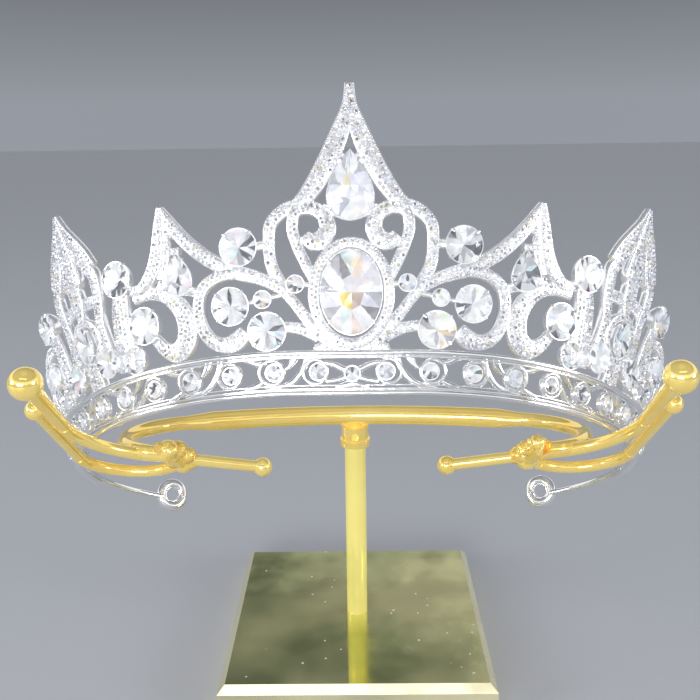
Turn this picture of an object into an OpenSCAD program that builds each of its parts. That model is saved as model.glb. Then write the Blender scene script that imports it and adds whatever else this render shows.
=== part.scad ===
// Rhinestone tiara resting on its gold display stand.
// Millimetres. The origin is the centre of the base plate's underside, +Z is up and the tiara faces -Y.
// The tiara is drawn as a wall: "along" runs round the band from the front centre, "up" runs up the wall
// and "out" is the distance in front of the wall's middle surface.

/* [Tiara plan] */
// Half length of the nearly straight front of the band
front_half = 10; // [6:0.5:14]
// Radius of each side of the band
side_r = 66; // [60:1:74]
// Distance along the band where the tighter back bend begins
bend_start = 84; // [78:1:90]
// Radius of the back bend
back_r = 36.5; // [34:0.5:44]
// Outward lean of the wall, in degrees
flare = 23.5; // [18:0.5:28]
// Tilt of the tiara on its stand, in degrees
tilt = 41; // [36:0.5:46]

/* [Tiara band] */
// Height of the openwork band
band_h = 9.7; // [9.2:0.1:10.4]
// Distance along the band where the openwork ends
band_end = 113; // [111:1:116]
// Distance along the band of the tail loops
tail_end = 138; // [128:1:142]
// Thickness of the frame's ribbons
ribbon_t = 1.6; // [1.2:0.1:2]
// Spacing of the rings in the band
ring_step = 9.1; // [9:0.1:9.3]
// Number of rings on each side
ring_count = 11; // [10:1:11]

/* [Stones] */
// Width of the centre oval stone
oval_w = 13; // [12:0.5:13.5]
// Height of the centre oval stone
oval_h = 18; // [17:0.5:18.5]
// Width of the centre pear stone
pear_w = 10; // [9:0.5:10.5]
// Height of the centre pear stone
pear_h = 15; // [14:0.5:15.5]
// Diameter of the large round stones
round_d = 8; // [7.5:0.1:8.2]
// Diameter of the band's stones
band_stone_d = 3.4; // [3.2:0.1:4]
// Air between a stone and its cup
stone_gap = 0.15; // [0.1:0.05:0.25]

/* [Stand] */
// Side of the square base plate
plate_w = 76; // [70:1:84]
// Thickness of the base plate
plate_t = 8; // [6:0.5:10]
// Height of the bow's axis above the base plate
bow_rise = 64; // [62:0.5:66]
// Diameter of the post
post_d = 6.2; // [5.6:0.1:6.8]
// Diameter of the bow at its middle
bow_d = 5.5; // [5:0.1:6]
// Diameter of the bow at its ends
bow_end_d = 4; // [3.6:0.1:4.4]
// Diameter of the rods that the tiara rests on
rod_d = 3; // [2.6:0.1:3.2]

/* [Hidden] */
SIDES = [["left", -1], ["right", 1]];
half_t = ribbon_t / 2;
frame_front = half_t;
// Where the middle of the front of the band's lower edge lies
tiara_y = -61.5;
tiara_z = plate_t + 91.2;
third_along = 61.5;
band_mid = band_h / 2;

// Columns: name, outline, distance along, height up, stone width, stone height, turn
pair_stones = [
    ["lobe_round", "round", 21.7, 32.4, round_d, round_d, 0],
    ["scroll_round", "round", 24.1, 19.9, round_d, round_d, 0],
    ["rail_round", "round", 17.3, 13.9, round_d, round_d, 0],
    ["scroll_bead", "round", 17.9, 20.8, 3.6, 3.6, 0],
    ["fork_bead", "round", 11.7, 23.8, 3.6, 3.6, 0],
    ["peak_pear", "pear", 34.0, 28.6, 7, 9, 6],
    ["comma_round", "round", 43.1, 19.3, round_d, round_d, 0],
    ["brow_round", "round", 47.7, 31.4, round_d, round_d, 0],
    ["rail_bead", "round", 47.4, 12.6, 6, 6, 0],
    ["side_round", "round", third_along - 6.2, 14.2, 7, 7, 0],
    ["side_oval", "round", third_along, 20.4, 6, 8, 0],
    ["side_round_rear", "round", third_along + 6.2, 14.2, 7, 7, 0],
    ["brow_round_rear", "round", 2 * third_along - 48.2, 30.6, round_d, round_d, 0],
    ["comma_round_rear", "round", 2 * third_along - 43.1, 19.3, round_d, round_d, 0],
    ["rail_bead_rear", "round", 2 * third_along - 47.4, 12.6, 6, 6, 0],
    ["tail_bead", "round", 96.6, 12.3, 5.2, 5.2, 0],
    ["tail_round", "round", band_end - 3.4, 5.2, 7, 7, 0],
];

PAIR_NODES = [for (row = pair_stones, side = SIDES) str(row[0], "_", side[0])];

// Plan of the band, worked out as three tangent stretches

side_turn = (bend_start - front_half) / side_r * 180 / PI;
function on_side(along) = min(max(along - front_half, 0), bend_start - front_half) / side_r * 180 / PI;
function on_back(along) = max(along - bend_start, 0) / back_r * 180 / PI;
function heading(along) = on_side(along) + on_back(along);
function plan_x(along) = min(along, front_half) + side_r * sin(on_side(along))
    + back_r * (sin(side_turn + on_back(along)) - sin(side_turn));
function plan_y(along) = side_r * (1 - cos(on_side(along)))
    + back_r * (cos(side_turn) - cos(side_turn + on_back(along)));

// Directions of the wall at one place of the band: along it, up it and out of it

function turned(along) = sign(along) * heading(abs(along));
function along_dir(along) = [cos(turned(along)), sin(turned(along)), 0];
function plan_out(along) = [sin(turned(along)), -cos(turned(along)), 0];
function up_dir(along) = plan_out(along) * sin(flare) + [0, 0, cos(flare)];
function out_dir(along) = plan_out(along) * cos(flare) - [0, 0, sin(flare)];
function wall(along, up, out = 0) = [sign(along) * plan_x(abs(along)), plan_y(abs(along)), 0]
    + up_dir(along) * up + out_dir(along) * out;

// A smooth curve through the given rows, cut into the given number of spans

function blend(a, b, c, d, t) = 0.5 * (2 * b + (c - a) * t + (2 * a - 5 * b + 4 * c - d) * t * t
    + (3 * b - a - 3 * c + d) * t * t * t);
function smooth(rows, spans) = let (last = len(rows) - 1)
    [for (i = [0 : spans]) let (t = i * last / spans, k = min(floor(t), last - 1))
        blend(rows[max(k - 1, 0)], rows[k], rows[k + 1], rows[min(k + 2, last)], t - k)];

// Sweep of one cross-section: rings of points in order, joined by triangles

module swept(rings, closed = false) {
    count = len(rings);
    corners = len(rings[0]);
    spans = closed ? count : count - 1;
    sides = [for (i = [0 : spans - 1], c = [0 : corners - 1])
        let (a = i * corners, b = (i + 1) % count * corners, d = (c + 1) % corners)
        each [[a + c, a + d, b + d], [a + c, b + d, b + c]]];
    caps = closed ? [] : [[for (c = [corners - 1 : -1 : 0]) c],
        [for (c = [0 : corners - 1]) (count - 1) * corners + c]];
    polyhedron([for (ring = rings) each ring], concat(sides, caps), convexity = 8);
}

function unit(v) = v / norm(v);
function step_dir(points, i, closed) = let (n = len(points))
    closed ? points[(i + 1) % n] - points[(i + n - 1) % n] : points[min(i + 1, n - 1)] - points[max(i - 1, 0)];

// A flat ribbon on the wall. Columns of its path: along, up, width. "lift" makes it a little thicker, so
// that crossing ribbons never share a face.
module ribbon(path, lift = 0, closed = false) {
    points = [for (row = path) wall(row[0], row[1])];
    rings = [for (i = [0 : len(path) - 1])
        let (out = out_dir(path[i][0]), side = unit(cross(step_dir(points, i, closed), out)),
            w = path[i][2] / 2)
        [points[i] - side * w - out * (half_t + lift / 2), points[i] + side * w - out * (half_t + lift / 2),
            points[i] + side * w + out * (half_t + lift), points[i] - side * w + out * (half_t + lift)]];
    swept(rings, closed);
}

// A thin round wire through the points
module bar(points, r, corners) {
    rings = [for (i = [0 : len(points) - 1])
        let (ahead = unit(step_dir(points, i, false)), side = unit(cross(ahead, [0, 0, 1])),
            over = cross(side, ahead))
        [for (c = [0 : corners - 1]) let (a = 360 * c / corners)
            points[i] + side * r * cos(a) + over * r * sin(a)]];
    swept(rings);
}

// Moves what stands at the origin, facing +Z, onto the wall
module at_wall(along, up) {
    t = along_dir(along);
    u = up_dir(along);
    o = out_dir(along);
    p = wall(along, up);
    multmatrix([[t[0], u[0], o[0], p[0]], [t[1], u[1], o[1], p[1]], [t[2], u[2], o[2], p[2]]]) children();
}

module on_stand() translate([0, tiara_y, tiara_z]) rotate([-tilt, 0, 0]) children();

// Cut stones

// Outline of a stone or its cup
function round_outline(w, h, count) = [for (i = [0 : count - 1]) let (a = 360 * (i + 0.5) / count)
    [w / 2 * cos(a), h / 2 * sin(a)]];
function pear_outline(w, h, count) = [for (i = [0 : count - 1]) let (a = 360 * i / count)
    [w / 2 * 1.3 * sin(a) * abs(cos(a / 2)), -h / 2 * cos(a)]];
function outline(kind, w, h, count) = kind == "pear" ? pear_outline(w, h, count) : round_outline(w, h, count);
function at_height(points, z) = [for (p = points) [p[0], p[1], z]];

table_share = 0.58;
girdle_t = 0.3;
floor_t = 0.35;
cup_back = half_t - 0.25;
function pavilion(w) = 0.24 * w;
function crown(w) = 0.13 * w;
function corners(w) = w > 9 ? 16 : w > 7 ? 10 : 8;
// Height of a stone's girdle above the wall's middle surface
function girdle_z(w) = max(pavilion(w) + stone_gap - cup_back + floor_t, frame_front + 0.7);

// The smallest faceted body round the points
module wrapped(points) hull()
    polyhedron(points, [for (i = [0 : len(points) - 3]) [i, i + 1, i + 2]]);

module cut_stone(kind, w, h) {
    base = girdle_z(w);
    wrapped(concat(
        at_height(outline(kind, w * table_share, h * table_share, 8), base + girdle_t + crown(w)),
        at_height(outline(kind, w, h, corners(w)), base + girdle_t),
        at_height(outline(kind, w, h, corners(w)), base),
        [[0, 0, base - pavilion(w)]]));
}

// The tapered pocket follows the stone's pavilion
module pocket(kind, w, h) {
    base = girdle_z(w);
    side = 4 * stone_gap;
    wrapped(concat(
        at_height(outline(kind, w + side, h + side, corners(w)), base + 1),
        at_height(outline(kind, w + side, h + side, corners(w)), base),
        [[0, 0, base - pavilion(w) - 1.2 * stone_gap]]));
}

module cup(kind, w, h, rim) translate([0, 0, -cup_back])
    linear_extrude(height = cup_back + girdle_z(w)) polygon(outline(kind, w + 2 * rim, h + 2 * rim, corners(w)));

// Ribbons of one half. Columns of each path: along, up, width.

peak_side = [[0, 67.0, 2.1], [0.5, 62.5, 2.3], [1.9, 57.3, 3.9], [4.1, 51.8, 4.5], [6.6, 47.0, 4.4],
    [9.4, 42.8, 3.8], [11.6, 40.2, 3.2]];
heart_lobe = [[8.4, 40.2, 2.8], [11.6, 40.6, 3.0], [14.2, 39.2, 3.0], [15.9, 36.8, 2.8], [16.4, 33.4, 2.7],
    [16.2, 29.0, 2.7], [15.3, 25.8, 2.8], [13.8, 23.0, 2.8]];
inner_volute = [[8.0, 24.8, 2.4], [9.8, 28.2, 2.5], [11.3, 32.2, 2.5], [12.1, 36.0, 2.5], [11.4, 39.4, 2.6],
    [8.7, 40.2, 3.0], [6.0, 38.8, 3.3], [4.9, 36.0, 3.7], [6.1, 33.5, 4.0], [8.3, 32.9, 3.8], [9.9, 34.3, 2.4]];
foot_strut = [[17.2, 24.8, 2.4], [14.6, 23.2, 2.6], [12.4, 20.4, 2.4], [10.2, 17.2, 2.5], [7.6, 14.0, 3.0],
    [4.6, 11.6, 3.2]];
rail_arm = [[7.0, 12.8, 3.4], [10.6, 14.2, 2.6], [14.0, 14.8, 2.4]];
peak_sweep = [[36.0, 44.2, 1.2], [34.5, 40.2, 2.7], [32.0, 35.7, 3.2], [29.0, 32.0, 3.3], [25.8, 29.2, 3.3],
    [22.6, 27.2, 3.3], [19.6, 26.0, 3.0], [17.2, 24.8, 2.7], [14.6, 23.0, 2.4]];
scroll = [[23.4, 27.0, 2.4], [26.4, 26.7, 2.6], [29.4, 24.9, 2.7], [30.8, 21.6, 2.7], [30.8, 17.2, 2.8],
    [29.4, 13.6, 3.0], [26.6, 11.9, 3.4], [23.9, 12.3, 4.0], [21.8, 14.2, 3.4]];
peak_rear = [[36.2, 44.2, 1.2], [37.0, 40.0, 2.4], [37.6, 36.4, 3.2], [38.6, 32.8, 3.6], [40.4, 29.8, 3.4],
    [43.0, 27.6, 2.9], [45.6, 28.0, 2.4]];
peak_fill = [[36.1, 42.0, 1.6], [35.6, 39.4, 3.0], [35.2, 37.0, 4.2]];
peak_inner = [[36.3, 38.2, 2.0], [36.2, 35.2, 2.6], [37.0, 31.9, 2.4], [38.3, 28.7, 2.0]];
peak_bar = [[36.7, 34.4, 1.5], [33.4, 33.8, 1.7]];
peak_floor = [[30.8, 24.0, 2.2], [33.2, 25.0, 2.2], [36.2, 26.0, 3.4], [39.0, 27.4, 2.6]];
comma_scroll = [[45.2, 25.9, 2.4], [41.6, 26.2, 2.8], [37.8, 24.9, 3.4], [35.1, 21.8, 4.2], [33.9, 17.6, 4.6],
    [34.7, 13.6, 4.8], [37.4, 12.0, 4.4], [40.0, 13.4, 3.2], [42.0, 16.3, 2.3]];
brow_strut = [[48.3, 28.2, 4.4], [49.2, 24.0, 5.4], [49.5, 19.6, 5.9], [49.7, 15.4, 6.1], [50.1, 10.6, 5.8]];

// Ribbons of the side motif, measured from its own middle. The spine and the cross are drawn once.
side_peak = [[0, 53.1, 1.4], [1.1, 49.2, 2.6], [2.6, 45.4, 4.0], [4.6, 41.2, 4.8], [6.4, 37.0, 4.6]];
side_spine = [[0, 51.4, 1.6], [0, 45.0, 4.0], [0, 36.2, 7.4], [0, 33.8, 5.0], [0, 30.4, 5.0], [0, 27.6, 2.8],
    [0, 25.4, 2.8]];
side_cross = [[-6.2, 29.4, 2.8], [0, 29.8, 3.0], [6.2, 29.4, 2.8]];
side_lobe = [[5.4, 37.4, 3.0], [6.8, 35.6, 3.3], [7.0, 32.6, 3.3], [6.7, 29.4, 3.1], [6.0, 25.4, 3.0],
    [5.8, 21.4, 3.4], [6.3, 17.2, 3.6]];

function oval_path(along, up, half_w, half_h, width, count) =
    [for (i = [0 : count - 1]) let (a = 360 * i / count)
        [along + half_w * cos(a), up + half_h * sin(a), width]];
function shifted(rows, to, flip = 1) = [for (row = rows) [to + flip * row[0], row[1], row[2]]];

oval_up = 21.8;
pear_up = 44.7;
centre_bead_d = 3;

module centre_motif_half() {
    ribbon(smooth(peak_side, 6), 0.1);
    ribbon(smooth(heart_lobe, 8));
    ribbon(smooth(inner_volute, 12), 0.15);
    ribbon(smooth(foot_strut, 5), 0.25);
    ribbon(rail_arm, 0.05);
    ribbon([[0.4, 10.4, 2.8], [4.0, 11.0, 2.8], [7.9, 10.0, 1.6]], 0.05);
    ribbon([[5.0, 50.0, 2.4], [1.0, 51.0, 2.0]], 0.05);
    ribbon([[6.0, 40.0, 2.2], [2.6, 39.2, 2.4]], 0.05);
}

module second_motif() {
    ribbon(smooth(peak_sweep, 7), 0.1);
    ribbon(smooth(scroll, 11), 0.2);
    ribbon(smooth(peak_rear, 6), 0.3);
    ribbon(peak_fill, 0.05);
    ribbon(peak_inner, 0.15);
    ribbon(peak_bar, 0.05);
    ribbon(peak_floor, 0.05);
    ribbon(smooth(comma_scroll, 9), 0.1);
    ribbon(brow_strut, 0.2);
}

module side_motif() {
    ribbon(oval_path(third_along, 20.4, 4.3, 5.4, 2, 12), 0.3, true);
    ribbon(shifted(side_spine, third_along), 0.2);
    ribbon(shifted(side_cross, third_along), 0.1);
    ribbon([[third_along, 15.6, 4.4], [third_along, 9.4, 6]], 0.15);
    for (flip = [-1, 1]) {
        ribbon(shifted(side_peak, third_along, flip), 0.05);
        ribbon(shifted(side_lobe, third_along, flip), 0.15);
    }
}

module rear_motif() {
    ribbon(shifted(smooth(comma_scroll, 9), 2 * third_along, -1), 0.1);
    ribbon(shifted(brow_strut, 2 * third_along, -1), 0.2);
    ribbon([[88.4, 21.8, 3.0], [91.4, 17.4, 2.6], [95.0, 13.6, 2.2]], 0.2);
}

// One side of the running scroll. Odd gaps hold an arm that climbs to the top rail, even gaps an arm that
// sweeps low under the next ring.
first_ring = 7.2;
function ring_at(k) = first_ring + k * ring_step;

module band_scroll() {
    for (k = [0 : 2 : ring_count - 1])
        ribbon([for (p = [[0.6, -2.4], [3.2, -2.0], [5.0, -0.4], [6.4, 1.4], [6.8, 3.4]])
            [ring_at(k) + ring_step - p[0], band_mid + p[1], 1.2]], 0.1);
    for (k = [1 : 2 : ring_count - 2])
        ribbon([for (p = [[1.8, 1.8], [3.4, 2.2], [5.0, 3.2], [6.6, 3.9]])
            [ring_at(k) + p[0], band_mid + p[1], 1.2]], 0.1);
    ribbon([[5.4, 6.6, 0.9], [3.4, 6.4, 1.1], [0.9, 5.2, 1.3]], 0.15);
    ribbon([[5.6, 3.2, 0.9], [3.2, 3.6, 1.1], [0.7, 4.1, 1.4]], 0.05);
}

rail_rows = 23;
function rail(up, width, reach) = [for (i = [0 : rail_rows]) [reach * (2 * i / rail_rows - 1), up, width]];

module rails() {
    top_reach = band_end - 9;
    ribbon(rail(band_h - 0.85, 1.7, top_reach), 0.45);
    ribbon(rail(0.6, 1.2, band_end - 2), 0.6);
}

// The plain end of the band, its wire tail and the loop that an elastic would pass through
module tail() {
    ribbon([[band_end - 9.6, band_h - 0.9, 1.7], [band_end - 5, band_h - 1.6, 1.7]], 0.2);
    spans = 6;
    wire_r = 0.85;
    bar([for (i = [0 : spans]) wall(band_end - 3 + (tail_end - band_end) * i / spans, 1.6)], wire_r, 6);
    loop_r = 3.3;
    loop_wire_r = 1.6;
    loop_up = 2.8;
    loop_lean = 30;
    at_wall(tail_end, loop_up) rotate([-loop_lean, 0, 0]) swept([for (a = [0 : 36 : 324]) [for (b = [0 : 72 : 288])
        (loop_r + loop_wire_r * cos(b)) * [cos(a), sin(a), 0] + [0, 0, loop_wire_r * sin(b)]]], true);
}

module stone_cups() {
    for (row = pair_stones) at_wall(row[2], row[3]) rotate([0, 0, row[6]]) cup(row[1], row[4], row[5], 0.65);
    for (k = [0 : ring_count - 1]) at_wall(ring_at(k), band_mid + 0.2)
        cup("round", band_stone_d, band_stone_d, 1.15);
}

module stone_pockets() {
    for (row = pair_stones) at_wall(row[2], row[3]) rotate([0, 0, row[6]]) pocket(row[1], row[4], row[5]);
    for (k = [0 : ring_count - 1]) at_wall(ring_at(k), band_mid + 0.2)
        pocket("round", band_stone_d, band_stone_d);
}

// Short bars that carry the beads between their neighbours
module bead_bars() {
    ribbon([[20.6, 20.4, 1.0], [15.4, 21.4, 1.0], [13.4, 21.8, 1.2]], 0.05);
    ribbon([[14.8, 23.9, 1.2], [9.0, 23.7, 1.2]], 0.05);
    ribbon([[16.2, 32.6, 2.0], [18.6, 32.5, 2.0]], 0.05);
}

module frame_half() {
    centre_motif_half();
    second_motif();
    side_motif();
    rear_motif();
    band_scroll();
    tail();
    bead_bars();
    stone_cups();
}

module centre_frame() {
    rails();
    ribbon(oval_path(0, oval_up, 7.95, 10.65, 2.7, 20), 0.5, true);
    ribbon([[0, 62.3, 1.6], [0, 56.4, 2.6]], 0.05);
    at_wall(0, oval_up) cup("round", oval_w, oval_h, 0.5);
    at_wall(0, pear_up) cup("pear", pear_w, pear_h, 0.6);
    at_wall(0, band_mid - 0.2) cup("round", centre_bead_d, centre_bead_d, 0.5);
}

module centre_pockets() {
    at_wall(0, oval_up) pocket("round", oval_w, oval_h);
    at_wall(0, pear_up) pocket("pear", pear_w, pear_h);
    at_wall(0, band_mid - 0.2) pocket("round", centre_bead_d, centre_bead_d);
}

module tiara_frame() color("silver") on_stand() difference() {
    union() {
        centre_frame();
        for (flip = [0, 1]) mirror([flip, 0, 0]) frame_half();
    }
    centre_pockets();
    for (flip = [0, 1]) mirror([flip, 0, 0]) stone_pockets();
}

module centre_oval() color("whitesmoke") on_stand() at_wall(0, oval_up) cut_stone("round", oval_w, oval_h);

module centre_pear() color("whitesmoke") on_stand() at_wall(0, pear_up) cut_stone("pear", pear_w, pear_h);

module band_stones() color("whitesmoke") on_stand() {
    at_wall(0, band_mid - 0.2) cut_stone("round", centre_bead_d, centre_bead_d);
    for (side = [-1, 1], k = [0 : ring_count - 1])
        at_wall(side * ring_at(k), band_mid + 0.2) cut_stone("round", band_stone_d, band_stone_d);
}

module pair_stone(row, side) color("whitesmoke") on_stand()
    mirror([side < 0 ? 1 : 0, 0, 0]) at_wall(row[2], row[3]) rotate([0, 0, row[6]])
        cut_stone(row[1], row[4], row[5]);

// Stand

plate_bevel = 2;
bore_gap = 0.1;
seat_depth = 4;
bow_z = plate_t + bow_rise;
post_top = bow_z - bow_d / 2 - 0.3;

module base_plate() color("gold") difference() {
    translate([-plate_w / 2, -plate_w / 2, 0]) cube([plate_w, plate_w, plate_t]);
    for (turn = [0 : 90 : 270]) rotate([0, 0, turn])
        translate([plate_w / 2 - plate_bevel, -plate_w, plate_t]) rotate([0, 45, 0])
            cube([plate_w, 2 * plate_w, plate_w]);
    translate([0, 0, plate_t - seat_depth]) cylinder(h = plate_t, d = post_d + 2 * bore_gap, $fn = 48);
}

stem_d = 3.6;
stem_l = 12;

module post() color("gold") difference() {
    translate([0, 0, plate_t - seat_depth + bore_gap])
        cylinder(h = post_top - plate_t + seat_depth - bore_gap, d = post_d, $fn = 48);
    translate([0, 0, post_top - stem_l - 1]) cylinder(h = stem_l + 2, d = stem_d + 2 * bore_gap, $fn = 48);
}

collar_d = 7.8;
collar_step_d = 8.6;
collar_l = 6;
collar_step_l = 2;
collar_hole_d = 2.2;

module collar() color("gold") translate([0, 0, post_top - collar_l]) difference() {
    union() {
        cylinder(h = collar_l, d = collar_d, $fn = 48);
        cylinder(h = collar_step_l, d = collar_step_d, $fn = 48);
    }
    translate([0, 0, -1]) cylinder(h = collar_l + 2, d = post_d + 2 * bore_gap, $fn = 48);
    translate([0, 0, collar_l * 0.6]) rotate([90, 0, 0]) cylinder(h = collar_d, d = collar_hole_d, $fn = 32);
}

// Bent round bars. Each piece is drawn in its own flat plane, "turn" is measured from +Y toward -X.
// A straight is a hair thinner than a bend and its ends lie a little inside it.

lap = 0.2;
thinner = 0.1;

module straight(p, turn, l, d, end_d) {
    more = (d - end_d) / l * lap;
    translate(p) rotate([0, 0, turn]) rotate([-90, 0, 0]) translate([0, 0, -lap])
        cylinder(h = l + 2 * lap, d1 = d - thinner + more, d2 = end_d - thinner - more);
}

// A bend round the centre c, starting at the given angle from +X
module bend(c, start, sweep, r, d) translate(c) rotate([0, 0, start])
    rotate_extrude(angle = sweep) translate([r, 0]) circle(d = d);

module ball(p, d) translate(p) sphere(d = d);

// Bow: a wide arc, a short taper and a tight elbow on each side, rising a little toward the front
bow_pitch = 8;
bow_arc_r = 135;
bow_arc = 17.5;
taper_l = 7;
elbow_r = 17.5;
elbow_arc = 152.5;
taper_start = [bow_arc_r * sin(bow_arc), -bow_arc_r * (1 - cos(bow_arc))];
elbow_start = taper_start + taper_l * [cos(bow_arc), -sin(bow_arc)];
elbow_centre = elbow_start - elbow_r * [sin(bow_arc), cos(bow_arc)];

module bow() translate([0, 0, bow_z]) rotate([-bow_pitch, 0, 0]) {
    bend([0, -bow_arc_r, 0], 90 - bow_arc, 2 * bow_arc, bow_arc_r, bow_d);
    for (flip = [0, 1]) mirror([flip, 0, 0]) {
        straight(taper_start, -90 - bow_arc, taper_l, bow_d, bow_end_d);
        bend(elbow_centre, 90 - bow_arc - elbow_arc, elbow_arc, elbow_r, bow_end_d);
    }
}

// Rods under the tiara, in its own tilted plane: inner rods are long, outer rods hook back to the solder
inner_x = 65;
inner_front = -13.5;
inner_straight = 24.5;
inner_arc_r = 23;
inner_turn = 69;
inner_run = 28.5;
neck_d = 4;
outer_x = 68.1;
outer_front = 1;
outer_straight = 32;
outer_arc_r = 12.5;
outer_turn = 135;
outer_run = 5;
front_ball_d = 7;
rear_ball_d = 4.9;
outer_ball_d = 5.4;
solder_d = 4.4;
bow_foot = [45.2, 28.6];
function ahead(turn) = [-sin(turn), cos(turn)];
function arc_end(x, y, r, turn) = [x - r * (1 - cos(turn)), y + r * sin(turn)];
inner_arc_y = inner_front + inner_straight;
inner_arc_end = arc_end(inner_x, inner_arc_y, inner_arc_r, inner_turn);
outer_arc_y = outer_front + outer_straight;
outer_arc_end = arc_end(outer_x, outer_arc_y, outer_arc_r, outer_turn);
outer_end = outer_arc_end + ahead(outer_turn) * outer_run;
solder_run = outer_end - bow_foot;

module hook() translate([0, 0, -rod_d / 2 - 0.8]) {
    ball([inner_x, inner_front], front_ball_d);
    straight([inner_x, inner_front], 0, inner_straight, neck_d, rod_d);
    bend([inner_x - inner_arc_r, inner_arc_y], 0, inner_turn, inner_arc_r, rod_d);
    straight(inner_arc_end, inner_turn, inner_run, rod_d, rod_d);
    ball(inner_arc_end + ahead(inner_turn) * inner_run, rear_ball_d);
    ball([outer_x, outer_front], rod_d + 1.4);
    straight([outer_x, outer_front], 0, outer_straight, rod_d, rod_d);
    bend([outer_x - outer_arc_r, outer_arc_y], 0, outer_turn, outer_arc_r, rod_d);
    straight(outer_arc_end, outer_turn, outer_run, rod_d, rod_d);
    ball(outer_end, outer_ball_d);
    straight(bow_foot, atan2(-solder_run[0], solder_run[1]), norm(solder_run), solder_d, solder_d);
    ball(bow_foot, solder_d + 0.8);
}

module cradle() color("gold") {
    bow();
    translate([0, 0, post_top - stem_l]) cylinder(h = stem_l + bow_d / 2, d = stem_d);
    for (flip = [0, 1]) mirror([flip, 0, 0]) on_stand() hook();
}

base_plate();
post();
collar();
cradle();
tiara_frame();
centre_oval();
centre_pear();
band_stones();
for (row = pair_stones, side = SIDES)
    pair_stone(row, side[1]);
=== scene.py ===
import itertools
import math
import random

import bpy
from mathutils import Matrix, Vector


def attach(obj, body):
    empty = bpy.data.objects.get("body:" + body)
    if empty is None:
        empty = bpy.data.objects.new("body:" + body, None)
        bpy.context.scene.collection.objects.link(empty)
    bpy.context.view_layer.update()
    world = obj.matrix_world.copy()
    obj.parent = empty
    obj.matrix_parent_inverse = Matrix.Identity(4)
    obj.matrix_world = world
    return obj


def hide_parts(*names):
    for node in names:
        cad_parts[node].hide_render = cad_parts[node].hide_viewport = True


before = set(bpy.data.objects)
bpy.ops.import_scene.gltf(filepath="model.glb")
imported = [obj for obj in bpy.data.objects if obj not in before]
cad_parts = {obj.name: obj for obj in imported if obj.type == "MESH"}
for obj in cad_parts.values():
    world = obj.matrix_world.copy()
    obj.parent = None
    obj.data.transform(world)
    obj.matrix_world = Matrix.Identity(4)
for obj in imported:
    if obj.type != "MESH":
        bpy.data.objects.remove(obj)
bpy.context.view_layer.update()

MM = 0.001
RNG = random.Random(7)

# Camera, at the photo's viewing angle

CAM_PLACE = Vector((0.001634, -0.237198, 0.159564))
CAM_DOWN = math.radians(15.982)
CAM_YAW = math.radians(-0.666)
CAM_ROLL = math.radians(-0.818)
CAM_LENS = 44.70
CAM_SENSOR = 36.0


def make_camera():
    ahead = Vector((math.sin(CAM_YAW) * math.cos(CAM_DOWN), math.cos(CAM_YAW) * math.cos(CAM_DOWN),
                    -math.sin(CAM_DOWN)))
    right = Vector((math.cos(CAM_YAW), -math.sin(CAM_YAW), 0))
    up = right.cross(ahead)
    side = right * math.cos(CAM_ROLL) + up * math.sin(CAM_ROLL)
    top = up * math.cos(CAM_ROLL) - right * math.sin(CAM_ROLL)
    lens = bpy.data.cameras.new("camera")
    lens.lens = CAM_LENS
    lens.sensor_width = CAM_SENSOR
    lens.clip_start = 0.01
    camera = bpy.data.objects.new("camera", lens)
    camera.matrix_world = Matrix.Translation(CAM_PLACE) @ Matrix((side, top, -ahead)).transposed().to_4x4()
    bpy.context.scene.collection.objects.link(camera)
    bpy.context.scene.camera = camera


make_camera()

# Driving sizes of the tiara, in millimetres and degrees, as in its source

FRONT_HALF = 10
SIDE_R = 66
BEND_START = 84
BACK_R = 36.5
FLARE = math.radians(23.5)
TILT = math.radians(41)
BAND_H = 9.7
BAND_END = 113
TAIL_END = 138
HALF_T = 0.8
RING_STEP = 9.1
RING_COUNT = 11
FIRST_RING = 7.2
BAND_MID = BAND_H / 2
RING_UP = BAND_MID + 0.2
TIARA_Y = -61.5
TIARA_Z = 99.2
THIRD_ALONG = 61.5
STONE_GAP = 0.15
OVAL_UP = 21.8
PEAR_UP = 44.7

SIDE_TURN = (BEND_START - FRONT_HALF) / SIDE_R


def turns(along):
    """How far the side bend and the back bend have turned, in radians."""
    side = min(max(along - FRONT_HALF, 0), BEND_START - FRONT_HALF) / SIDE_R
    back = max(along - BEND_START, 0) / BACK_R
    return side, back


def wall_axes(along):
    """Directions along, up and out of the wall, before the tilt."""
    turned = math.copysign(sum(turns(abs(along))), along)
    ahead = Vector((math.cos(turned), math.sin(turned), 0))
    outward = Vector((math.sin(turned), -math.cos(turned), 0))
    up = outward * math.sin(FLARE) + Vector((0, 0, math.cos(FLARE)))
    out = outward * math.cos(FLARE) - Vector((0, 0, math.sin(FLARE)))
    return ahead, up, out


def wall(along, up=0.0, out=0.0):
    """A point of the tiara in its own frame, in millimetres."""
    side, back = turns(abs(along))
    x = (min(abs(along), FRONT_HALF) + SIDE_R * math.sin(side)
         + BACK_R * (math.sin(SIDE_TURN + back) - math.sin(SIDE_TURN)))
    y = SIDE_R * (1 - math.cos(side)) + BACK_R * (math.cos(SIDE_TURN) - math.cos(SIDE_TURN + back))
    ahead, up_dir, out_dir = wall_axes(along)
    return Vector((math.copysign(x, along), y, 0)) + up_dir * up + out_dir * out


TO_METRES = Matrix.Diagonal((MM, MM, MM, 1))
ON_STAND = TO_METRES @ Matrix.Translation((0, TIARA_Y, TIARA_Z)) @ Matrix.Rotation(-TILT, 4, "X")


def circle(count, shift=0):
    """Angles of a full turn in equal steps."""
    return [math.tau * (i + shift) / count for i in range(count)]


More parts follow.
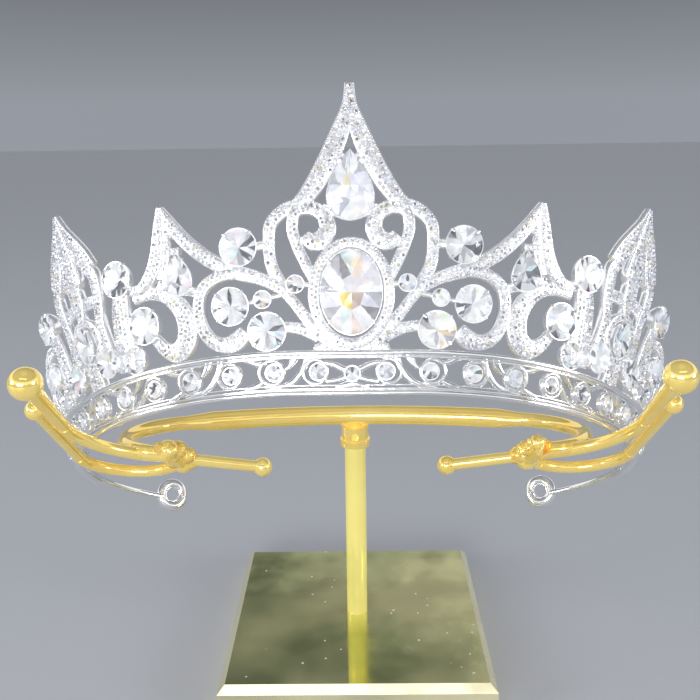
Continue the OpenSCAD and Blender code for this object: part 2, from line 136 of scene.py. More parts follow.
def smooth(rows, step=0.8, closed=False):
    """A smooth curve through rows of (along, up, width), with points about step apart."""
    last = len(rows) - 1
    result = []
    for k in range(last + (1 if closed else 0)):
        if closed:
            a, b, c, d = (rows[(k + i) % len(rows)] for i in (-1, 0, 1, 2))
        else:
            a, b, c, d = rows[max(k - 1, 0)], rows[k], rows[k + 1], rows[min(k + 2, last)]
        count = max(1, math.ceil(math.hypot(c[0] - b[0], c[1] - b[1]) / step))
        for i in range(count):
            t = i / count
            result.append(tuple(0.5 * (2 * q + (r - p) * t + (2 * p - 5 * q + 4 * r - s) * t * t
                                       + (3 * q - p - 3 * r + s) * t ** 3) for p, q, r, s in zip(a, b, c, d)))
    if not closed:
        result.append(tuple(float(v) for v in rows[-1]))
    return result


# Meshes

CLEAR = (1, 1, 1)


class Shell:
    """Collects the points and faces of one piece, in millimetres in the tiara's own frame."""

    def __init__(self):
        self.points, self.faces, self.slots, self.tones = [], [], [], []

    def add(self, points, faces, slots=None, tones=None):
        base = len(self.points)
        self.points += points
        self.faces += [tuple(base + i for i in face) for face in faces]
        self.slots += slots or [0] * len(faces)
        self.tones += tones or [CLEAR] * len(faces)

    def sweep(self, rings, closed=False):
        """A skin over rings that all have the same number of corners."""
        count, corners = len(rings), len(rings[0])
        faces = []
        for i in range(count if closed else count - 1):
            a, b = i * corners, (i + 1) % count * corners
            faces += [(a + c, a + (c + 1) % corners, b + (c + 1) % corners, b + c) for c in range(corners)]
        if not closed:
            faces.append(tuple(reversed(range(corners))))
            faces.append(tuple((count - 1) * corners + c for c in range(corners)))
        self.add([p for ring in rings for p in ring], faces)

    def build(self, name, materials, slot, sharp=None, replaces=(), painted_facets=False):
        """Makes the piece. Its edges sharper than the angle sharp stay crisp."""
        mesh = bpy.data.meshes.new(name)
        mesh.from_pydata([ON_STAND @ p for p in self.points], [], self.faces)
        for material in materials:
            mesh.materials.append(material)
        mesh.polygons.foreach_set("material_index", self.slots)
        # Each face's painted tone, a painted reflection or flash, goes into a colour attribute.
        if painted_facets:
            tone = mesh.color_attributes.new("tone", "FLOAT_COLOR", "CORNER")
            values = []
            for polygon, colour in zip(mesh.polygons, self.tones):
                values += [*colour, 1.0] * polygon.loop_total
            tone.data.foreach_set("color", values)
        if sharp is not None:
            mesh.polygons.foreach_set("use_smooth", [True] * len(mesh.polygons))
            mesh.set_sharp_from_angle(angle=math.radians(sharp))
        mesh.update()
        piece = bpy.data.objects.new(name, mesh)
        bpy.context.scene.collection.objects.link(piece)
        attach(piece, "root")
        if replaces:
            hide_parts(*replaces)


def step_dirs(points, closed=False):
    """The direction of travel at each point."""
    count = len(points)
    for i in range(count):
        if closed:
            yield (points[(i + 1) % count] - points[i - 1]).normalized()
        else:
            yield (points[min(i + 1, count - 1)] - points[max(i - 1, 0)]).normalized()


BEVEL = 0.3


def ribbon(shell, rows, lift=0.0, closed=False, bevel=BEVEL):
    """A flat ribbon with rounded edges on the wall."""
    points = [wall(row[0], row[1]) for row in rows]
    rings = []
    for point, ahead, row in zip(points, step_dirs(points, closed), rows):
        out = wall_axes(row[0])[2]
        side = out.cross(ahead).normalized()
        half = row[2] / 2
        b = min(bevel, half * 0.6)
        front, back = HALF_T + lift, -HALF_T - lift / 2
        nip = 0.3 * b
        section = [(-half + b, back), (half - b, back), (half, back + b), (half, front - b),
                   (half - nip, front - nip), (half - b, front), (-half + b, front),
                   (-half + nip, front - nip), (-half, front - b), (-half, back + b)]
        rings.append([point + side * s + out * o for s, o in section])
    shell.sweep(rings, closed)


def wire(shell, points, radii, over, corners=8, closed=False):
    """A round wire through the points. over holds a direction off the wall for each of them."""
    rings = []
    for point, ahead, r, off in zip(points, step_dirs(points, closed), radii, over):
        side = off.cross(ahead).normalized()
        top = ahead.cross(side)
        rings.append([point + side * r * math.cos(a) + top * r * math.sin(a) for a in circle(corners)])
    shell.sweep(rings, closed)


def wall_wire(shell, rows, r, out=0.0, corners=8, closed=False):
    """A round wire on the wall, in front of its middle surface."""
    points = [wall(row[0], row[1], out) for row in rows]
    over = [wall_axes(row[0])[2] for row in rows]
    wire(shell, points, [r] * len(rows), over, corners, closed)


# Ribbons of one half. Columns of each path: along, up, width. The numbers are those of the source.

PEAK_SIDE = [(0, 67.0, 2.1), (0.5, 62.5, 2.3), (1.9, 57.3, 3.9), (4.1, 51.8, 4.5), (6.6, 47.0, 4.4),
             (9.4, 42.8, 3.8), (11.6, 40.2, 3.2)]
HEART_LOBE = [(8.4, 40.2, 2.8), (11.6, 40.6, 3.0), (14.2, 39.2, 3.0), (15.9, 36.8, 2.8), (16.4, 33.4, 2.7),
              (16.2, 29.0, 2.7), (15.3, 25.8, 2.8), (13.8, 23.0, 2.8)]
INNER_VOLUTE = [(8.0, 24.8, 2.4), (9.8, 28.2, 2.5), (11.3, 32.2, 2.5), (12.1, 36.0, 2.5), (11.4, 39.4, 2.6),
                (8.7, 40.2, 3.0), (6.0, 38.8, 3.3), (4.9, 36.0, 3.7), (6.1, 33.5, 4.0), (8.3, 32.9, 3.8),
                (9.9, 34.3, 2.4)]
FOOT_STRUT = [(17.2, 24.8, 2.4), (14.6, 23.2, 2.6), (12.4, 20.4, 2.4), (10.2, 17.2, 2.5), (7.6, 14.0, 3.0),
              (4.6, 11.6, 3.2)]
RAIL_ARM = [(7.0, 12.8, 3.4), (10.6, 14.2, 2.6), (14.0, 14.8, 2.4)]
PEAK_SWEEP = [(36.0, 44.2, 1.2), (34.5, 40.2, 2.7), (32.0, 35.7, 3.2), (29.0, 32.0, 3.3), (25.8, 29.2, 3.3),
              (22.6, 27.2, 3.3), (19.6, 26.0, 3.0), (17.2, 24.8, 2.7), (14.6, 23.0, 2.4)]
SCROLL = [(23.4, 27.0, 2.4), (26.4, 26.7, 2.6), (29.4, 24.9, 2.7), (30.8, 21.6, 2.7), (30.8, 17.2, 2.8),
          (29.4, 13.6, 3.0), (26.6, 11.9, 3.4), (23.9, 12.3, 4.0), (21.8, 14.2, 3.4)]
PEAK_REAR = [(36.2, 44.2, 1.2), (37.0, 40.0, 2.4), (37.6, 36.4, 3.2), (38.6, 32.8, 3.6), (40.4, 29.8, 3.4),
             (43.0, 27.6, 2.9), (45.6, 28.0, 2.4)]
PEAK_FILL = [(36.1, 42.0, 1.6), (35.6, 39.4, 3.0), (35.2, 37.0, 4.2)]
PEAK_INNER = [(36.3, 38.2, 2.0), (36.2, 35.2, 2.6), (37.0, 31.9, 2.4), (38.3, 28.7, 2.0)]
PEAK_BAR = [(36.7, 34.4, 1.5), (33.4, 33.8, 1.7)]
PEAK_FLOOR = [(30.8, 24.0, 2.2), (33.2, 25.0, 2.2), (36.2, 26.0, 3.4), (39.0, 27.4, 2.6)]
COMMA_SCROLL = [(45.2, 25.9, 2.4), (41.6, 26.2, 2.8), (37.8, 24.9, 3.4), (35.1, 21.8, 4.2), (33.9, 17.6, 4.6),
                (34.7, 13.6, 4.8), (37.4, 12.0, 4.4), (40.0, 13.4, 3.2), (42.0, 16.3, 2.3)]
BROW_STRUT = [(48.3, 28.2, 4.4), (49.2, 24.0, 5.4), (49.5, 19.6, 5.9), (49.7, 15.4, 6.1), (50.1, 10.6, 5.8)]
SIDE_PEAK = [(0, 53.1, 1.4), (1.1, 49.2, 2.6), (2.6, 45.4, 4.0), (4.6, 41.2, 4.8), (6.4, 37.0, 4.6)]
SIDE_SPINE = [(0, 51.4, 1.6), (0, 45.0, 4.0), (0, 36.2, 7.4), (0, 33.8, 5.0), (0, 30.4, 5.0), (0, 27.6, 2.8),
              (0, 25.4, 2.8)]
SIDE_CROSS = [(-6.2, 29.4, 2.8), (0, 29.8, 3.0), (6.2, 29.4, 2.8)]
SIDE_LOBE = [(5.4, 37.4, 3.0), (6.8, 35.6, 3.3), (7.0, 32.6, 3.3), (6.7, 29.4, 3.1), (6.0, 25.4, 3.0),
             (5.8, 21.4, 3.4), (6.3, 17.2, 3.6)]
REAR_END = [(88.4, 21.8, 3.0), (91.4, 17.4, 2.6), (95.0, 13.6, 2.2)]
LOBE_BAR = [(16.2, 32.6, 2.0), (18.6, 32.5, 2.0)]
PEAR_TIE = [(6.0, 40.0, 2.2), (2.6, 39.2, 2.4)]
PEAK_TIE = [(5.0, 50.0, 2.4), (1.0, 51.0, 2.0)]
FOOT_TIE = [(0.4, 10.4, 2.8), (4.0, 11.0, 2.8), (7.9, 10.0, 1.6)]


def shifted(rows, to, flip=1):
    """The path moved along the band, and turned about its own start if flip is -1."""
    return [(to + flip * row[0], row[1], row[2]) for row in rows]


def oval_path(along, up, half_w, half_h, width, count):
    return [(along + half_w * math.cos(a), up + half_h * math.sin(a), width) for a in circle(count)]


# Rows: path, lift, closed
CENTRE_PAVE = [
    (oval_path(0, OVAL_UP, 8.1, 10.8, 2.4, 24), 0.5, True),
    ([(0, 62.3, 1.6), (0, 56.4, 2.6)], 0.02, False),
]
HALF_PAVE = [
    (PEAK_SIDE, 0.1, False), (HEART_LOBE, 0.0, False), (INNER_VOLUTE, 0.15, False), (FOOT_STRUT, 0.25, False),
    (RAIL_ARM, 0.05, False), (FOOT_TIE, 0.05, False), (PEAK_TIE, 0.05, False), (PEAR_TIE, 0.05, False),
    (PEAK_SWEEP, 0.1, False), (SCROLL, 0.2, False), (PEAK_REAR, 0.3, False), (PEAK_FILL, 0.05, False),
    (PEAK_INNER, -0.02, False), (PEAK_BAR, 0.05, False), (PEAK_FLOOR, 0.05, False),
    (COMMA_SCROLL, 0.1, False), (BROW_STRUT, 0.2, False), (LOBE_BAR, 0.05, False),
    (oval_path(THIRD_ALONG, 20.4, 4.3, 5.4, 2, 16), 0.3, True),
    (shifted(SIDE_SPINE, THIRD_ALONG), 0.2, False), (shifted(SIDE_CROSS, THIRD_ALONG), 0.1, False),
    ([(THIRD_ALONG, 15.6, 4.4), (THIRD_ALONG, 9.4, 6)], 0.15, False),
    (shifted(SIDE_PEAK, THIRD_ALONG, -1), 0.05, False), (shifted(SIDE_PEAK, THIRD_ALONG), 0.05, False),
    (shifted(SIDE_LOBE, THIRD_ALONG, -1), 0.15, False), (shifted(SIDE_LOBE, THIRD_ALONG), 0.15, False),
    (shifted(COMMA_SCROLL, 2 * THIRD_ALONG, -1), 0.1, False),
    (shifted(BROW_STRUT, 2 * THIRD_ALONG, -1), 0.2, False), (REAR_END, 0.2, False),
]

# Stones. Columns: name, outline, distance along, height up, width, height, turn in degrees

ROUND_D = 8
PAIR_STONES = [
    ("lobe_round", "round", 21.7, 32.4, ROUND_D, ROUND_D, 0),
    ("scroll_round", "round", 24.1, 19.9, ROUND_D, ROUND_D, 0),
    ("rail_round", "round", 17.3, 13.9, ROUND_D, ROUND_D, 0),
    ("scroll_bead", "round", 17.9, 20.8, 3.6, 3.6, 0),
    ("fork_bead", "round", 11.7, 23.8, 3.6, 3.6, 0),
    ("peak_pear", "pear", 34.0, 28.6, 7, 9, 6),
    ("comma_round", "round", 43.1, 19.3, ROUND_D, ROUND_D, 0),
    ("brow_round", "round", 47.7, 31.4, ROUND_D, ROUND_D, 0),
    ("rail_bead", "round", 47.4, 12.6, 6, 6, 0),
    ("side_round", "round", THIRD_ALONG - 6.2, 14.2, 7, 7, 0),
    ("side_oval", "round", THIRD_ALONG, 20.4, 6, 8, 0),
    ("side_round_rear", "round", THIRD_ALONG + 6.2, 14.2, 7, 7, 0),
    ("brow_round_rear", "round", 2 * THIRD_ALONG - 48.2, 30.6, ROUND_D, ROUND_D, 0),
    ("comma_round_rear", "round", 2 * THIRD_ALONG - 43.1, 19.3, ROUND_D, ROUND_D, 0),
    ("rail_bead_rear", "round", 2 * THIRD_ALONG - 47.4, 12.6, 6, 6, 0),
    ("tail_bead", "round", 96.6, 12.3, 5.2, 5.2, 0),
    ("tail_round", "round", BAND_END - 3.4, 5.2, 7, 7, 0),
]
CENTRE_STONES = [
    ("centre_oval", "round", 0, OVAL_UP, 13, 18, 0),
    ("centre_pear", "pear", 0, PEAR_UP, 10, 15, 0),
]
BAND_STONE_D = 3.4
CENTRE_BEAD_D = 3


def all_stones():
    """Every stone that is a piece of its own: name, outline, along, up, width, height, turn."""
    yield from CENTRE_STONES
    for name, kind, along, up, w, h, turn in PAIR_STONES:
        yield name + "_right", kind, along, up, w, h, turn
        yield name + "_left", kind, -along, up, w, h, -turn


def band_places():
    """Every stone of the band: along, up, width."""
    yield 0, BAND_MID - 0.2, CENTRE_BEAD_D
    for side in (-1, 1):
        for k in range(RING_COUNT):
            yield side * (FIRST_RING + k * RING_STEP), RING_UP, BAND_STONE_D


BIG_STONE = 5
TABLE_SHARE = 0.58
STAR_SHARE = 0.80
MID_SHARE = 0.42
KNEE_SHARE = 0.62
PAVILION_SHARE = 0.24
CROWN_SHARE = 0.13
GIRDLE_T = 0.3
CUP_FLOOR = 0.35
CUP_BACK = HALF_T - 0.25
LOWEST_GIRDLE = HALF_T + 0.7
# The pear's formula alone comes out this many times too narrow
PEAR_NARROW = 1.3


def pavilion(w):
    return PAVILION_SHARE * w


def crown(w):
    return CROWN_SHARE * w


def girdle_z(w):
    """How far the girdle's lower edge is in front of the wall's middle surface."""
    return max(pavilion(w) + STONE_GAP - CUP_BACK + CUP_FLOOR, LOWEST_GIRDLE)


def outline(kind, w, h, angle):
    """A point of a stone's outline. The angle runs from the right, against the clock."""
    if kind == "pear":
        a = angle + math.pi / 2
        return w / 2 * PEAR_NARROW * math.sin(a) * abs(math.cos(a / 2)), -h / 2 * math.cos(a)
    return w / 2 * math.cos(angle), h / 2 * math.sin(angle)


def at_wall(along, up, turn=0.0):
    """Places what stands at the origin, facing +Z, on the wall."""
    t, u, o = wall_axes(along)
    base = Matrix((t, u, o)).transposed().to_4x4()
    return Matrix.Translation(wall(along, up)) @ base @ Matrix.Rotation(math.radians(turn), 4, "Z")


# Materials

def new_material(name):
    material = bpy.data.materials.new(name)
    material.use_nodes = True
    tree = material.node_tree
    return material, tree, tree.nodes["Principled BSDF"]


def noise(tree, scale, detail=2.0, kind="ShaderNodeTexNoise"):
    """The value of a texture that is fixed to the piece."""
    place = tree.nodes.new("ShaderNodeTexCoord")
    texture = tree.nodes.new(kind)
    texture.inputs["Scale"].default_value = scale
    texture.inputs["Detail"].default_value = detail
    tree.links.new(place.outputs["Object"], texture.inputs["Vector"])
    return texture.outputs[0]


def ramp(tree, source, low, high, start=0.3, end=0.7):
    """Maps a value to a range."""
    node = tree.nodes.new("ShaderNodeMapRange")
    node.inputs["From Min"].default_value = start
    node.inputs["From Max"].default_value = end
    node.inputs["To Min"].default_value = low
    node.inputs["To Max"].default_value = high
    tree.links.new(source, node.inputs["Value"])
    return node.outputs["Result"]


def calculate(tree, operation, first, second):
    node = tree.nodes.new("ShaderNodeMath")
    node.operation = operation
    tree.links.new(first, node.inputs[0])
    tree.links.new(second, node.inputs[1])
    return node.outputs[0]


def axis_of(tree, vector, axis):
    """One coordinate of a vector."""
    node = tree.nodes.new("ShaderNodeSeparateXYZ")
    tree.links.new(vector, node.inputs[0])
    return node.outputs[axis]


def mix(tree, factor, first, second, blend="MIX"):
    """Mixes two colours. Each of the three is a value or the output of another node."""
    node = tree.nodes.new("ShaderNodeMix")
    node.data_type = "RGBA"
    node.blend_type = blend
    for name, value in (("Factor", factor), ("A", first), ("B", second)):
        if isinstance(value, bpy.types.NodeSocket):
            tree.links.new(value, node.inputs[name])
        else:
            node.inputs[name].default_value = (*value, 1) if isinstance(value, tuple) else value
    return node.outputs["Result"]


def add_bump(tree, shader, height, distance):
    node = tree.nodes.new("ShaderNodeBump")
    node.inputs["Distance"].default_value = distance
    node.inputs["Strength"].default_value = 1.0
    tree.links.new(height, node.inputs["Height"])
    tree.links.new(node.outputs["Normal"], shader.inputs["Normal"])


def metal(name, bright, dull, rough, grain, bump, metallic=1.0, painted_glow=0.0):
    """A plated metal: its colour and gloss vary a little, and its surface isn't quite even.

    rough is the range of its roughness, grain the scale of its tone, and bump its surface's scale and height.
    Its emission in its bright colour is painted light, which lifts the metal where it is in shade.
    """
    material, tree, shader = new_material(name)
    shader.inputs["Metallic"].default_value = metallic
    # Painted light: the metal emits its bright colour.
    shader.inputs["Emission Color"].default_value = (*bright, 1)
    shader.inputs["Emission Strength"].default_value = painted_glow
    tone = mix(tree, ramp(tree, noise(tree, grain, 3.0), 0, 1), bright, dull)
    tree.links.new(tone, shader.inputs["Base Color"])
    tree.links.new(ramp(tree, noise(tree, grain * 2.7, 4.0), *rough), shader.inputs["Roughness"])
    bump_scale, bump_height = bump
    add_bump(tree, shader, noise(tree, bump_scale), bump_height)
    return material


def painted_facets(name, metallic, roughness, spread, painted_glow):
    """Facets in painted tone: each face's colour is a painted reflection, light or dark, or a painted flash
    of colour. A little emission of that tone is painted light, which stands for the light that a stone traps.
    """
    material, tree, shader = new_material(name)
    shader.inputs["Metallic"].default_value = metallic
    shader.inputs["Roughness"].default_value = roughness
    shader.inputs["Emission Strength"].default_value = painted_glow
    tone = tree.nodes.new("ShaderNodeAttribute")
    tone.attribute_name = "tone"
    cloud = mix(tree, ramp(tree, noise(tree, spread), 0, 1), CLEAR, (0.8, 0.81, 0.84))
    shade = mix(tree, 1.0, tone.outputs["Color"], cloud, "MULTIPLY")
    tree.links.new(shade, shader.inputs["Base Color"])
    # Painted light: the facets emit their painted tone.
    tree.links.new(shade, shader.inputs["Emission Color"])
    return material


def glass(name):
    material, tree, shader = new_material(name)
    shader.inputs["Base Color"].default_value = (0.985, 0.99, 1.0, 1)
    shader.inputs["Transmission Weight"].default_value = 1.0
    shader.inputs["IOR"].default_value = 1.54
    tree.links.new(ramp(tree, noise(tree, 900), 0.0, 0.03), shader.inputs["Roughness"])
    return material


# Each material here but the glass emits a little light of its own colour, as painted light; the post emits
# most.
SILVER = metal("silver_plate", (0.95, 0.95, 0.96), (0.84, 0.85, 0.88), rough=(0.16, 0.32), grain=260,
               bump=(1400, 0.00004), painted_glow=0.10)
RAIL_SILVER = metal("rail_silver", (0.94, 0.94, 0.94), (0.84, 0.85, 0.86), rough=(0.07, 0.18), grain=120,
                    bump=(500, 0.00005), painted_glow=0.04)
CHIP = painted_facets("pave_chip", metallic=0.5, roughness=0.08, spread=900, painted_glow=0.16)
FOIL = painted_facets("stone_foil", metallic=0.6, roughness=0.1, spread=500, painted_glow=0.35)
GLASS = glass("stone_glass")
GOLD = metal("polished_gold", (1.0, 0.80, 0.27), (1.0, 0.69, 0.17), rough=(0.04, 0.12), grain=90,
             bump=(220, 0.00008), metallic=0.62, painted_glow=0.10)
POST_GOLD = metal("post_gold", (1.0, 0.90, 0.30), (1.0, 0.84, 0.24), rough=(0.04, 0.10), grain=60,
                  bump=(160, 0.00006), metallic=0.5, painted_glow=0.16)
SOLDER = metal("gold_solder", (1.0, 0.84, 0.30), (1.0, 0.58, 0.09), rough=(0.08, 0.25), grain=500,
               bump=(900, 0.0003), metallic=0.62, painted_glow=0.08)


# The frame: ribbons, rails, scrolls, cups

FLIPS = (1, -1)


def flipped(rows, flip):
    return [(flip * row[0], *row[1:]) for row in rows]


def pave_paths():
    """Every paved ribbon as a fine path, with its lift."""
    for rows, lift, closed in CENTRE_PAVE:
        yield smooth(rows, closed=closed), lift, closed
    for rows, lift, closed in HALF_PAVE:
        fine = smooth(rows, closed=closed)
        for flip in FLIPS:
            yield flipped(fine, flip), lift, closed


# Thin arms to the small stones beside the oval. Columns: along, up, width
BEAD_ARMS = ([(20.6, 20.4, 1.0), (15.4, 21.4, 1.0), (13.4, 21.8, 1.2)], [(14.8, 23.9, 1.2), (9.0, 23.7, 1.2)])


def make_ribbons():
    shell = Shell()
    for path, lift, closed in pave_paths():
        ribbon(shell, path, lift, closed)
    for flip in FLIPS:
        for rows in BEAD_ARMS:
            ribbon(shell, flipped(smooth(rows), flip), 0.05)
    return shell


def rail_rows(up, width, reach, step=1.5):
    """A level path round the band, from reach on one side to reach on the other."""
    count = round(2 * reach / step)
    return [(reach * (2 * i / count - 1), up, width) for i in range(count + 1)]


TOP_REACH = BAND_END - 6
LOW_REACH = BAND_END - 2
# Columns: height up, width, lift, reach, bevel
RAIL_BARS = [
    (BAND_H - 0.62, 1.25, 0.42, TOP_REACH, 0.35),
    (BAND_H - 1.58, 0.5, 0.3, TOP_REACH, 0.18),
    (BAND_H - 1.1, 1.3, -0.2, TOP_REACH, 0.2),
    (0.52, 1.1, 0.55, LOW_REACH, 0.35),
    (1.42, 0.5, 0.35, LOW_REACH, 0.18),
    (1.0, 1.4, -0.3, LOW_REACH, 0.2),
    (2.15, 0.38, 0.15, LOW_REACH, 0.14),
]
RAIL_TIP = [(BAND_END - 9.6, BAND_H - 0.9, 1.7), (BAND_END - 5, BAND_H - 1.6, 1.7)]


def make_rails():
    """Top rail, a bar and a finer one with a web between, and the bottom rail of two bars and a thin wire."""
    shell = Shell()
    for up, width, lift, reach, bevel in RAIL_BARS:
        ribbon(shell, rail_rows(up, width, reach), lift, bevel=bevel)
    for flip in FLIPS:
        ribbon(shell, flipped(smooth(RAIL_TIP), flip), 0.1)
    return shell


RING_R = 2.6
RING_SHIFT = 0.7
RING_WIRE_R = 0.42
RING_POINTS = 40
ARM_BEVEL = 0.35
# Arms and leaves of the running scroll. Columns: along from a ring, up from the band's middle, width
ARM_UNDER = [(-2.2, -3.3, 0.7), (0.6, -2.9, 1.0), (3.2, -2.2, 1.3), (5.0, -0.5, 1.4), (6.3, 1.6, 1.4),
             (6.9, 3.6, 1.6)]
LEAF = [(4.3, 3.9, 2.0), (3.9, 2.7, 1.7), (3.1, 1.6, 1.3), (2.3, 0.9, 0.8)]
ARM_OVER = [(1.6, 2.3, 1.0), (3.4, 2.2, 1.3), (5.0, 3.0, 1.4), (6.8, 3.9, 1.5)]
ARM_LOW = [(2.2, -1.6, 0.9), (4.2, -2.5, 1.3), (6.4, -3.1, 1.0)]
# Arms round the centre bead. Columns: along, up, width
CENTRE_ARMS = ([(6.0, 7.0, 1.2), (3.8, 6.6, 1.4), (1.7, 5.5, 1.5), (0.6, 4.9, 1.5)],
               [(5.6, 3.0, 0.9), (3.2, 3.3, 1.0), (1.0, 4.1, 1.5)],
               [(3.6, 1.7, 0.8), (1.8, 2.1, 1.4), (0.0, 2.5, 2.0)])


def band_arm(shell, rows, start, way, flip, lift):
    """A flat arm of the scroll, which runs from start towards the back, or to the front if way is -1."""
    placed = [(start + way * a, BAND_MID + u, w) for a, u, w in rows]
    ribbon(shell, flipped(smooth(placed), flip), lift, bevel=ARM_BEVEL)


def make_scrolls():
    """The running scroll of the band: rings round the stones, arms between them and small leaves."""
    shell = Shell()
    for flip in FLIPS:
        for k in range(RING_COUNT):
            centre = FIRST_RING + k * RING_STEP + RING_SHIFT
            ring = [(flip * (centre + RING_R * math.cos(a)), RING_UP + RING_R * math.sin(a))
                    for a in circle(RING_POINTS)]
            for out in (0.1, 0.6):
                wall_wire(shell, ring, RING_WIRE_R, out, closed=True)
        for k in range(0, RING_COUNT, 2):
            start = FIRST_RING + (k + 1) * RING_STEP
            band_arm(shell, ARM_UNDER, start, -1, flip, 0.1)
            band_arm(shell, LEAF, start, -1, flip, 0.0)
        for k in range(1, RING_COUNT - 1, 2):
            start = FIRST_RING + k * RING_STEP
            band_arm(shell, ARM_OVER, start, 1, flip, 0.1)
            band_arm(shell, ARM_LOW, start, 1, flip, 0.05)
        for arm in CENTRE_ARMS:
            ribbon(shell, flipped(smooth(arm), flip), 0.15, bevel=ARM_BEVEL)
    return shell


TAIL_WIRE_R = 0.85
TAIL_UP = 1.6
TAIL_START = BAND_END - 3
TAIL_STEPS = 24
LOOP_R = 3.3
LOOP_WIRE_R = 1.6
LOOP_UP = 2.8
LOOP_LEAN = math.radians(30)
LOOP_POINTS = 40
LOOP_CORNERS = 14


def make_tails():
    """The two plain wires behind the openwork, each with a loop at its end."""
    shell = Shell()
    for flip in FLIPS:
        alongs = [TAIL_START + (TAIL_END - BAND_END) * i / TAIL_STEPS for i in range(TAIL_STEPS + 1)]
        wall_wire(shell, [(flip * a, TAIL_UP) for a in alongs], TAIL_WIRE_R, 0.0, 12)
        place = at_wall(flip * TAIL_END, LOOP_UP) @ Matrix.Rotation(-LOOP_LEAN, 4, "X")
        rings = []
        for a in circle(LOOP_POINTS):
            spoke = Vector((math.cos(a), math.sin(a), 0))
            section = [(LOOP_R + LOOP_WIRE_R * math.cos(b), -LOOP_WIRE_R * math.sin(b))
                       for b in circle(LOOP_CORNERS)]
            rings.append([place @ (spoke * r + Vector((0, 0, z))) for r, z in section])
        shell.sweep(rings, True)
    return shell


CUP_RIM = 0.2
BAND_CUP_RIM = 0.25
CLAWS = 4
CLAW_R = 0.3


def add_cup(shell, kind, w, h, place, rim):
    """A tapered cup up to the stone's girdle. Its rim goes round the stone."""
    top, depth = girdle_z(w), pavilion(w)
    # Columns: scale of the stone's outline, growth all round, height
    profile = [(0.62, 0.0, -CUP_BACK), (0.80, 0.0, -CUP_BACK), (1.0, rim * 0.6, top - 0.7),
               (1.0, rim, top + 0.12), (1.0, 0.05, top + 0.12), (1.0, 0.08, top - 0.05),
               (0.45, 0.06, top - depth * KNEE_SHARE - 0.12), (0.08, 0.0, top - depth - 0.15)]
    rings = []
    for scale, grow, z in profile:
        corners = [outline(kind, w * scale + 2 * grow, h * scale + 2 * grow, a)
                   for a in circle(32 if w > BIG_STONE else 20, 0.5)]
        rings.append([place @ Vector((x, y, z)) for x, y in corners])
    shell.sweep(rings)


def add_claws(shell, kind, w, h, place):
    """Claws that lean over the stone's edge."""
    top = girdle_z(w)
    # Columns: distance out of the stone's outline, height
    lean = [(CUP_RIM * 0.5, top - 0.6), (CUP_RIM * 0.8, top + 0.1), (0.12, top + GIRDLE_T + 0.12),
            (-0.55, top + GIRDLE_T + 0.42)]
    for a in circle(CLAWS, 0.5):
        foot = Vector((*outline(kind, w, h, a), 0))
        outward = foot.normalized()
        points = [place @ (foot + outward * o + Vector((0, 0, z))) for o, z in lean]
        off = place.to_3x3() @ (Vector((0, 0, 1)) + outward * 0.3)
        wire(shell, points, [CLAW_R, CLAW_R, CLAW_R, CLAW_R * 0.55], [off] * len(points))


def make_cups():
    shell = Shell()
    for name, kind, along, up, w, h, turn in all_stones():
        place = at_wall(along, up, turn)
        add_cup(shell, kind, w, h, place, CUP_RIM)
        if w > BIG_STONE:
            add_claws(shell, kind, w, h, place)
    for along, up, w in band_places():
        add_cup(shell, "round", w, w, at_wall(along, up), BAND_CUP_RIM)
    return shell


# Cut stones

# Painted reflections of the foil facets: whites and greys stand for light and dark surroundings reflected in
# them, and the coloured ones are painted flashes.
PAINTED_REFLECTIONS = [(1.0, 1.0, 1.0), (0.97, 0.98, 1.0), (0.98, 0.98, 0.97), (0.92, 0.92, 0.93), (0.60, 0.61, 0.63),
          (0.22, 0.23, 0.25)]
FLASHES = [(1.0, 0.80, 0.55), (0.85, 0.95, 0.72), (0.72, 0.86, 1.0), (1.0, 0.78, 0.80), (0.75, 0.95, 0.93)]


# One foil facet's painted reflection: a coloured painted flash at the share flash, otherwise a white or a
# grey.
def painted_foil_reflection(flash):
    if RNG.random() < flash:
        return RNG.choice(FLASHES)
    return RNG.choice(PAINTED_REFLECTIONS)


def brilliant(kind, w, h, mains, flash, tones=None, painted_hearts=None):
    """Points, faces, material slots and painted tone of each face of a cut stone: glass above the girdle, and
    foil below, whose facets carry painted reflections.
    """
    top = girdle_z(w)
    points, faces, slots, colours = [], [], [], []

    def ring(scale, z, shift, count):
        start = len(points)
        for a in circle(count, shift):
            x, y = outline(kind, w * scale, h * scale, a)
            points.append(Vector((x, y, z)))
        return start

    n = mains
    table = ring(TABLE_SHARE, top + GIRDLE_T + crown(w), 0.5, n)
    star = ring(STAR_SHARE, top + GIRDLE_T + crown(w) * KNEE_SHARE, 0.0, n)
    upper = ring(1.0, top + GIRDLE_T, 0.0, 2 * n)
    lower = ring(1.0, top, 0.0, 2 * n)
    mid = ring(MID_SHARE, top - pavilion(w) * KNEE_SHARE, 0.0, n)
    culet = len(points)
    points.append(Vector((0, 0, top - pavilion(w))))

    def face(corners, slot=0, tone=CLEAR):
        faces.append(tuple(corners))
        slots.append(slot)
        colours.append(tone)

    face([table + i for i in range(n)])
    for i in range(n):
        j = (i + 1) % n
        # A star facet and two halves of the kite between table, star points and girdle
        face([table + i, star + i, table + (i - 1) % n][::-1])
        g, e, f = upper + 2 * i, upper + 2 * i + 1, upper + (2 * i + 2) % (2 * n)
        face([table + i, star + i, e])
        face([table + i, e, star + j])
        face([star + i, g, e])
        face([star + j, e, f])
        # Each foil facet takes a painted reflection, and the culet facets take the painted heart reflections.
        tone = tones[i % len(tones)] if tones else painted_foil_reflection(flash)
        other = tones[(i + 3) % len(tones)] if tones else painted_foil_reflection(flash)
        lg, le, lf = lower + 2 * i, lower + 2 * i + 1, lower + (2 * i + 2) % (2 * n)
        face([mid + i, le, lg], 1, other)
        face([mid + i, mid + j, le], 1, tone)
        face([mid + j, lf, le], 1, painted_foil_reflection(flash))
        face([culet, mid + j, mid + i], 1, painted_hearts[i // 2] if painted_hearts else tone)
    for i in range(2 * n):
        j = (i + 1) % (2 * n)
        face([lower + i, lower + j, upper + j, upper + i])
    return points, faces, slots, colours
